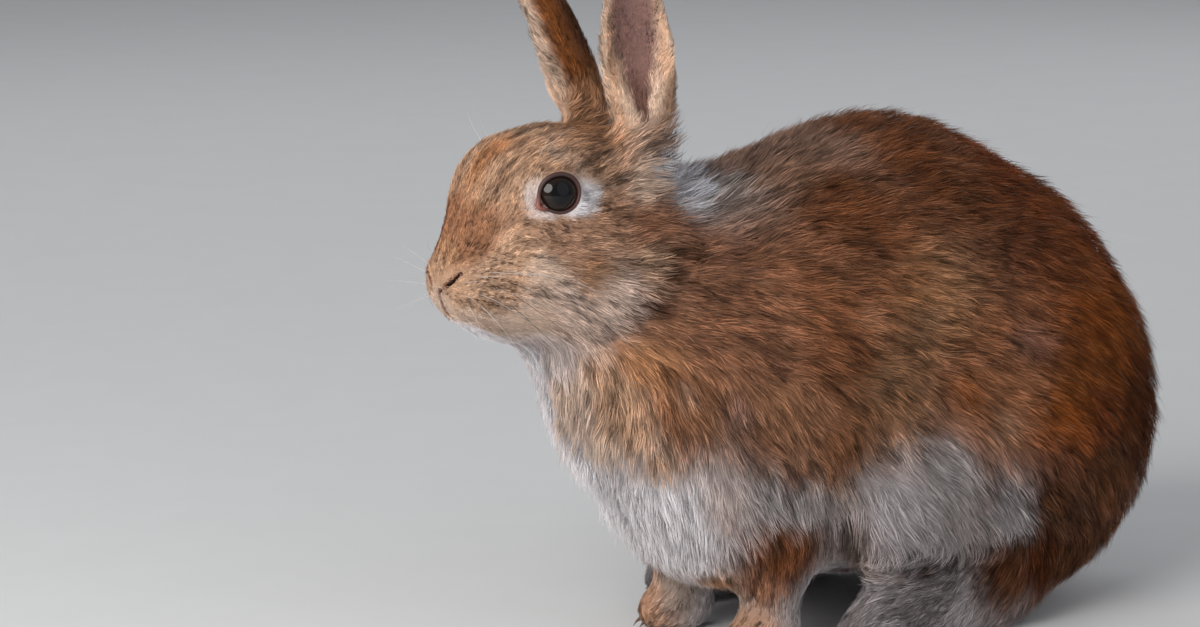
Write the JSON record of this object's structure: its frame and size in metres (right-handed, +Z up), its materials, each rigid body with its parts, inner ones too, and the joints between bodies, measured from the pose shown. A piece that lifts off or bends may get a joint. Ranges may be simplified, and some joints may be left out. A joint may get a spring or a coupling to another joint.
{
  "type": "rabbit",
  "caption": "Life-size ginger domestic rabbit, a still model that crouches on all fours with its ears up and its head turned a little to its right.",
  "frame": {"origin": "centre of the whole rabbit's bounding box, on the floor under it", "axes": "+Z up; +X towards the rump, so the rabbit faces -X; +Y towards the rabbit's right side"},
  "size_m": [0.296, 0.1438, 0.2552],
  "materials": {
    "tan_coat": "short soft fur",
    "ear_coat": "short soft fur",
    "dark_eye": "wet and glossy",
    "neck_coat": "short soft fur",
    "ginger_coat": "short soft fur",
    "haunch_coat": "short soft fur",
    "foreleg_coat": "short soft fur",
    "forefoot_coat": "short soft fur",
    "hindfoot_coat": "short soft fur",
    "tail_coat": "short soft fur"
  },
  "bodies": {
    "root": {"ear_left": "ear_coat", "ear_right": "ear_coat", "eye_left": "dark_eye", "eye_right": "dark_eye", "forefoot_left": "forefoot_coat", "forefoot_right": "forefoot_coat", "foreleg_left": "foreleg_coat", "foreleg_right": "foreleg_coat", "haunch_left": "haunch_coat", "haunch_right": "haunch_coat", "head": "tan_coat", "hindfoot_left": "hindfoot_coat", "hindfoot_right": "hindfoot_coat", "neck": "neck_coat", "tail": "tail_coat", "trunk": "ginger_coat"}
  },
  "joints": []
}
